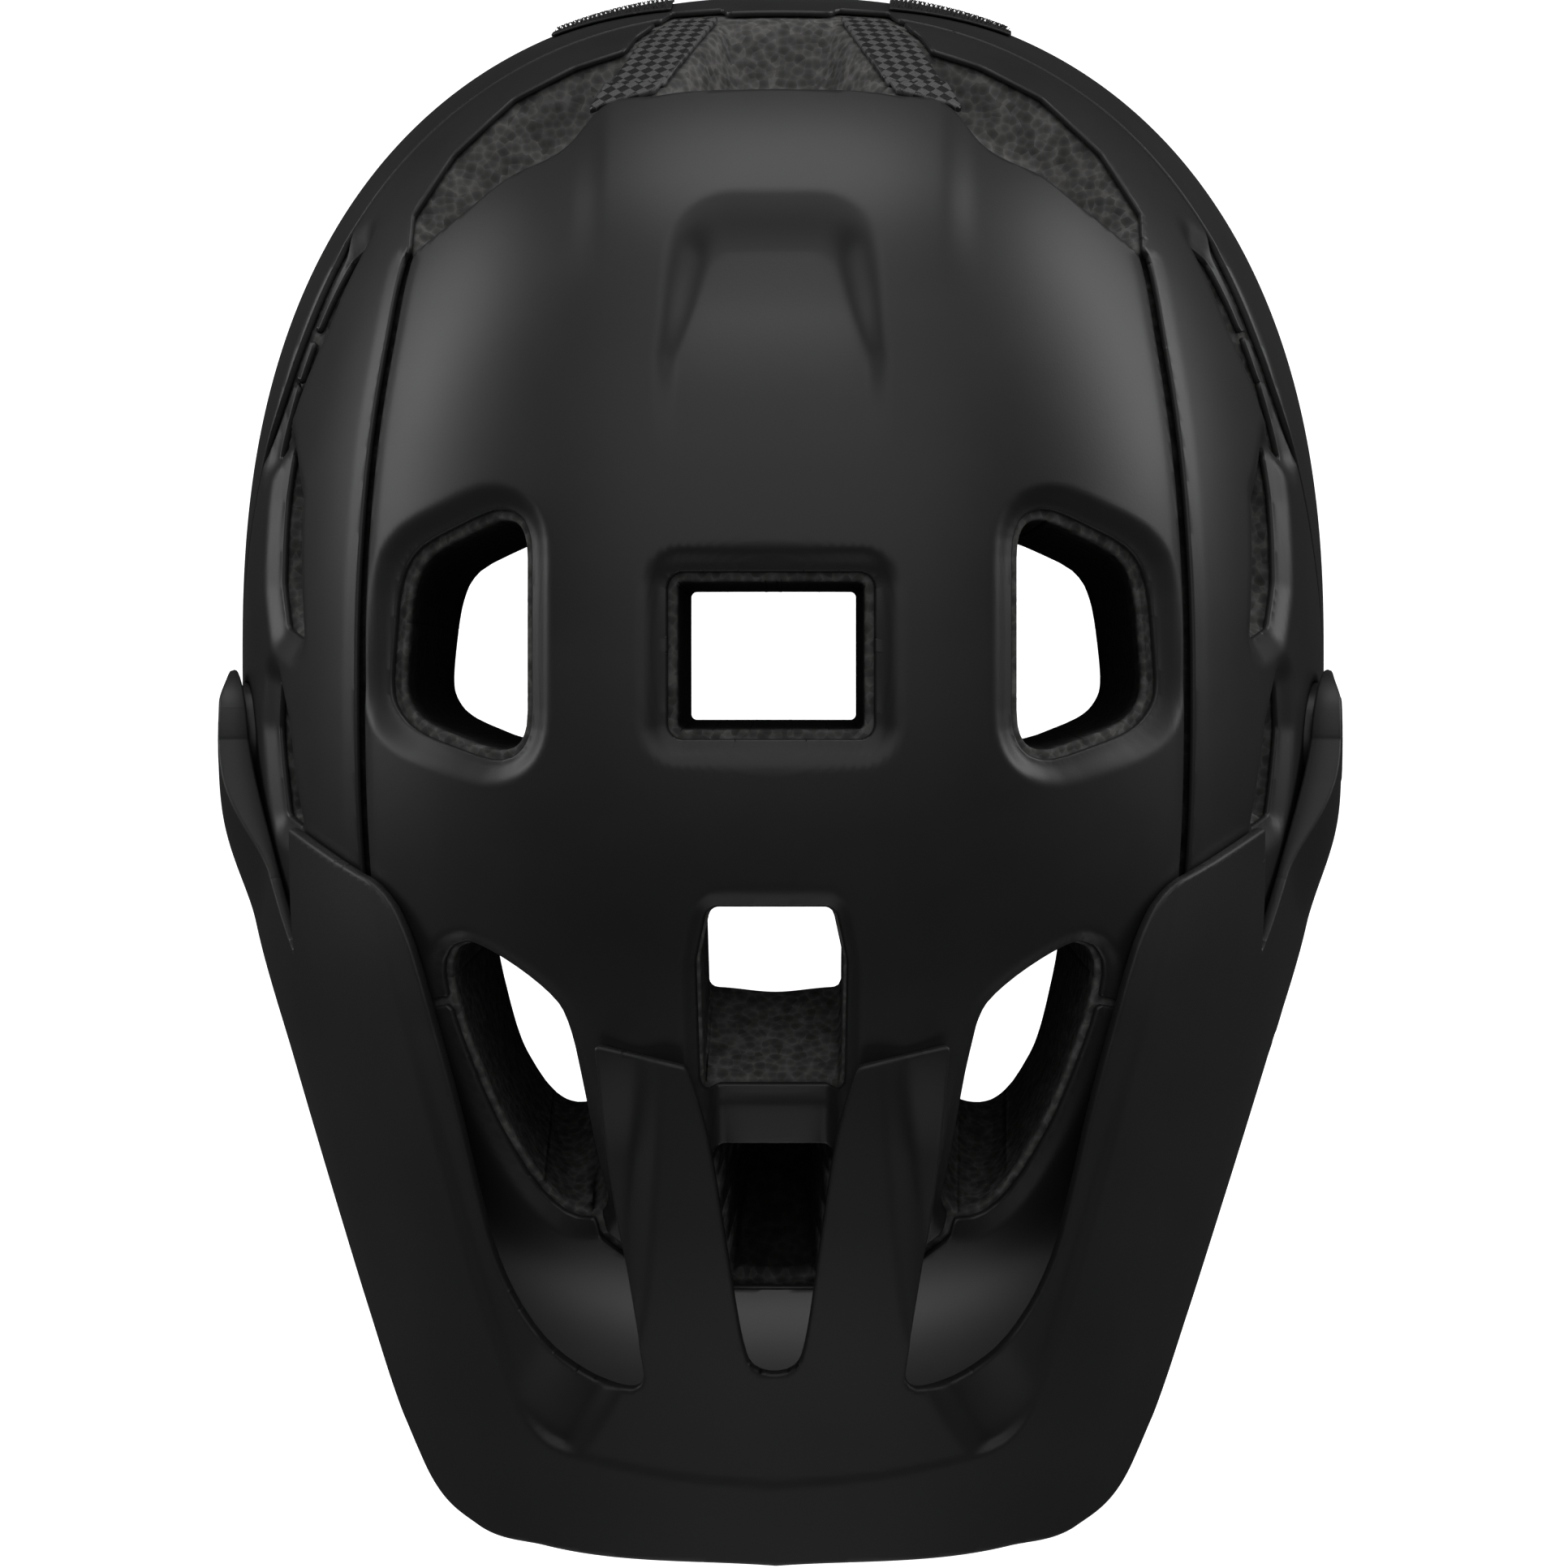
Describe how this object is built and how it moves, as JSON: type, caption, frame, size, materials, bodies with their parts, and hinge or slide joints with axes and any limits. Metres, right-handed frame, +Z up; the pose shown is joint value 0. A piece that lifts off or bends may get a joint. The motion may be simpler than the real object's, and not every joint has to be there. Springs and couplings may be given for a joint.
{
  "type": "cycling helmet",
  "caption": "Enduro cycling helmet with in-mould shells over a vented foam liner, a tilting visor, a dial-adjusted headband and chin straps with a side-release buckle.",
  "frame": {"origin": "middle of the head ring at brow height, inside the head cavity", "axes": "+Z up, -Y the front (visor), +X the wearer's left"},
  "size_m": [0.2207, 0.3033, 0.3445],
  "materials": {
    "shell": "matt black polycarbonate with a fine satin sheen",
    "foam": "charcoal expanded-bead foam",
    "visor": "matt black injection moulding, finely textured",
    "weave": "black woven-look film",
    "nylon": "black nylon, fine spark texture",
    "webbing": "black woven webbing",
    "padding": "dark grey knitted mesh over foam",
    "hook_tape": "black hook tape",
    "rubber": "soft black rubber",
    "steel": "blackened steel screw"
  },
  "bodies": {
    "helmet": {"brow_pad": "padding", "brow_shell": "shell", "crown_pad_centre": "padding", "crown_pad_left": "padding", "crown_pad_right": "padding", "height_track": "nylon", "hook_pad_left": "hook_tape", "hook_pad_right": "hook_tape", "liner": "foam", "pivot_socket_left": "nylon", "pivot_socket_right": "nylon", "rear_pad_left": "padding", "rear_pad_right": "padding", "rear_shell": "shell", "side_pad_left": "padding", "side_pad_right": "padding", "side_shell_left": "shell", "side_shell_right": "shell", "strap_anchor_front_left": "nylon", "strap_anchor_front_right": "nylon", "strap_anchor_rear_left": "nylon", "strap_anchor_rear_right": "nylon", "strut_cover_left": "weave", "strut_cover_right": "weave", "temple_anchor_left": "nylon", "temple_anchor_right": "nylon", "top_shell": "shell", "visor_screw_left": "nylon", "visor_screw_right": "nylon"},
    "visor": {"visor": "visor"},
    "headband": {"temple_arm_left": "nylon", "temple_arm_right": "nylon", "belt_left": "nylon", "belt_right": "nylon", "cradle_pad_left": "padding", "cradle_pad_right": "padding", "dial_housing": "nylon", "housing_cover": "nylon", "nape_cradle": "nylon", "height_slider": "nylon"},
    "dial": {"dial": "rubber", "dial_screw": "steel", "pinion": "nylon"},
    "rack_left": {"rack_left": "nylon"},
    "rack_right": {"rack_right": "nylon"},
    "straps_left": {"front_strap_left": "webbing", "rear_strap_left": "webbing", "divider_left": "nylon", "chin_strap_left": "webbing"},
    "straps_right": {"front_strap_right": "webbing", "rear_strap_right": "webbing", "divider_right": "nylon", "chin_strap_right": "webbing", "chin_pad": "padding", "buckle_female": "nylon"},
    "lever_left": {"divider_lever_left": "nylon"},
    "lever_right": {"divider_lever_right": "nylon"},
    "buckle_male": {"buckle_male": "nylon"},
    "keeper": {"strap_keeper": "rubber"}
  },
  "joints": [
    {"name": "visor_tilt", "type": "hinge", "parent": "helmet", "child": "visor", "pos_m": [0, -0.008, 0.036], "axis": [-1, 0, 0], "range_deg": [0, 22]},
    {"name": "headband_height", "type": "hinge", "parent": "helmet", "child": "headband", "pos_m": [0, -0.035, -0.002], "axis": [1, 0, 0], "range_deg": [-4, 2]},
    {"name": "dial_turn", "type": "hinge", "parent": "headband", "child": "dial", "pos_m": [0, 0.09, -0.0593], "axis": [0, 1, 0], "range_deg": [0, 160]},
    {"name": "rack_left_slide", "type": "slide", "parent": "headband", "child": "rack_left", "axis": [-1, 0, 0], "range_m": [0, 0.0125]},
    {"name": "rack_right_slide", "type": "slide", "parent": "headband", "child": "rack_right", "axis": [1, 0, 0], "range_m": [0, 0.0125]},
    {"name": "strap_swing_left", "type": "hinge", "parent": "helmet", "child": "straps_left", "pos_m": [0.08, 0, -0.018], "axis": [0, -1, 0], "range_deg": [-8, 25]},
    {"name": "strap_swing_right", "type": "hinge", "parent": "helmet", "child": "straps_right", "pos_m": [-0.08, 0, -0.018], "axis": [0, 1, 0], "range_deg": [-8, 25]},
    {"name": "lever_left_flip", "type": "hinge", "parent": "straps_left", "child": "lever_left", "pos_m": [0.0843, 0.01, -0.092], "axis": [0, -1, 0], "range_deg": [0, 75]},
    {"name": "lever_right_flip", "type": "hinge", "parent": "straps_right", "child": "lever_right", "pos_m": [-0.0843, 0.01, -0.092], "axis": [0, 1, 0], "range_deg": [0, 75]},
    {"name": "buckle_slide", "type": "slide", "parent": "straps_left", "child": "buckle_male", "axis": [0, 0, 1], "range_m": [0, 0.022]},
    {"name": "keeper_slide", "type": "slide", "parent": "straps_left", "child": "keeper", "axis": [0, 0, 1], "range_m": [0, 0.02]}
  ],
  "couplings": [
    {"joint": "rack_left_slide", "follows": "dial_turn", "m_per_rad": 0.0044},
    {"joint": "rack_right_slide", "follows": "dial_turn", "m_per_rad": 0.0044}
  ]
}
